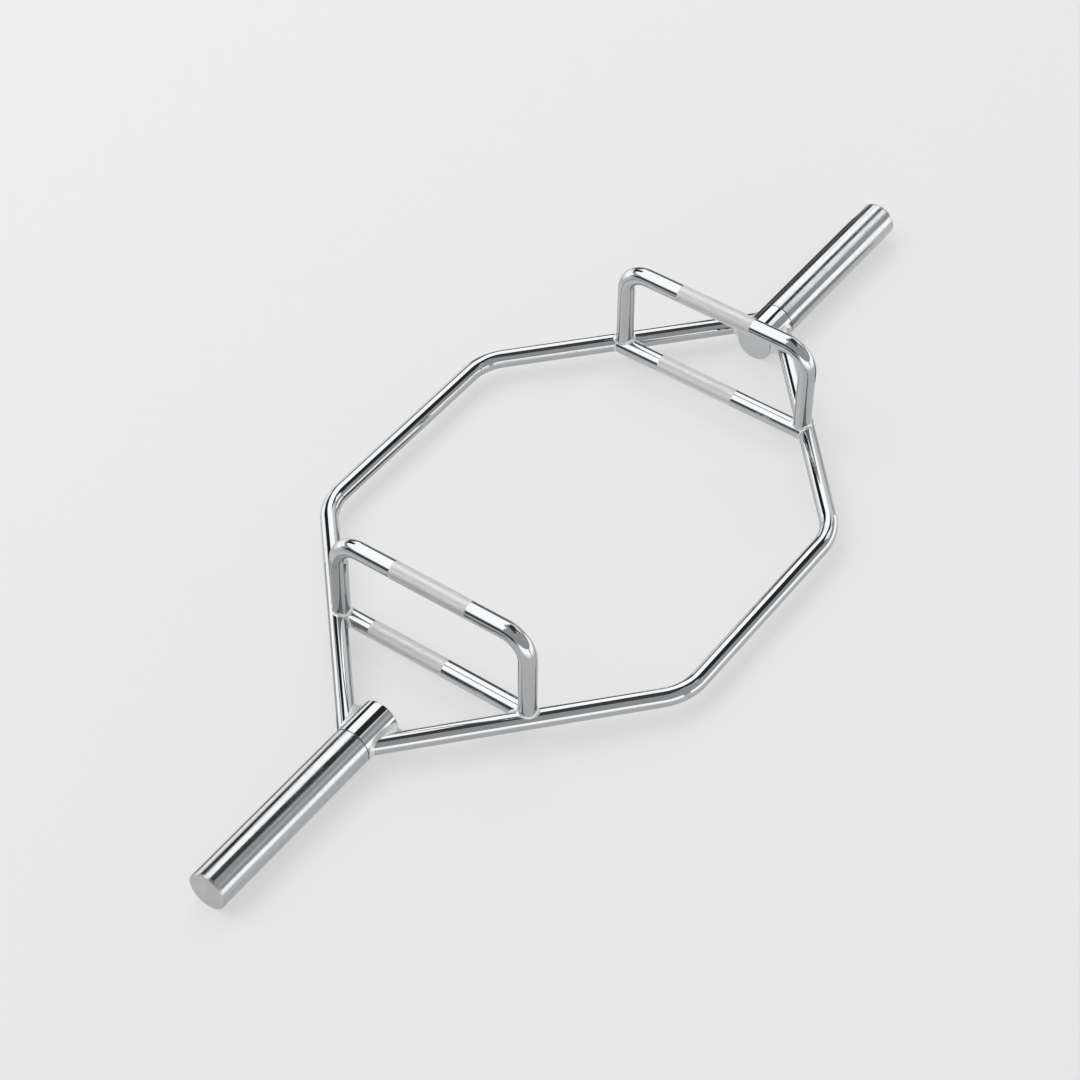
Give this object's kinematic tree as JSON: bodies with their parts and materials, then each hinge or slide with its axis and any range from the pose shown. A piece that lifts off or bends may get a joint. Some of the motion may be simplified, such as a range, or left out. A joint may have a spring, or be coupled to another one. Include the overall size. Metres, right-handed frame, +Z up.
{
  "type": "hex trap bar",
  "caption": "Hexagonal lifting frame of bent chromed bar with turning plate sleeves at its ends and low and raised knurled handles for a lifter who stands inside.",
  "frame": {"origin": "on the floor under the middle of the bar, at the height of the sleeves' lowest line", "axes": "+X along the sleeves to the right end, +Y to the front of the frame, +Z up"},
  "size_m": [1.432, 0.5584, 0.1663],
  "materials": {
    "frame_chrome": "polished chrome plate",
    "handle_chrome": "polished chrome plate with a satin knurled grip",
    "sleeve_chrome": "chrome plate over fine turning marks",
    "cap_chrome": "satin chrome plate",
    "spindle_steel": "ground and greased steel",
    "bush_bronze": "sintered bronze",
    "washer_steel": "zinc-plated steel",
    "ring_spring_steel": "black oxide spring steel"
  },
  "bodies": {
    "frame": {"front_frame_bar": "frame_chrome", "rear_frame_bar": "frame_chrome", "left_low_handle": "handle_chrome", "left_raised_handle": "handle_chrome", "left_hub": "frame_chrome", "left_spindle": "spindle_steel", "left_inner_washer": "washer_steel", "left_outer_washer": "washer_steel", "left_retaining_ring": "ring_spring_steel", "right_low_handle": "handle_chrome", "right_raised_handle": "handle_chrome", "right_hub": "frame_chrome", "right_spindle": "spindle_steel", "right_inner_washer": "washer_steel", "right_outer_washer": "washer_steel", "right_retaining_ring": "ring_spring_steel"},
    "left_sleeve": {"left_sleeve": "sleeve_chrome", "left_inner_bush": "bush_bronze", "left_outer_bush": "bush_bronze", "left_end_cap": "cap_chrome"},
    "right_sleeve": {"right_sleeve": "sleeve_chrome", "right_inner_bush": "bush_bronze", "right_outer_bush": "bush_bronze", "right_end_cap": "cap_chrome"}
  },
  "joints": [
    {"name": "left_sleeve_spin", "type": "hinge", "parent": "frame", "child": "left_sleeve", "pos_m": [-0.58485, 0, 0.025], "axis": [1, 0, 0], "continuous": true},
    {"name": "right_sleeve_spin", "type": "hinge", "parent": "frame", "child": "right_sleeve", "pos_m": [0.58485, 0, 0.025], "axis": [1, 0, 0], "continuous": true}
  ]
}
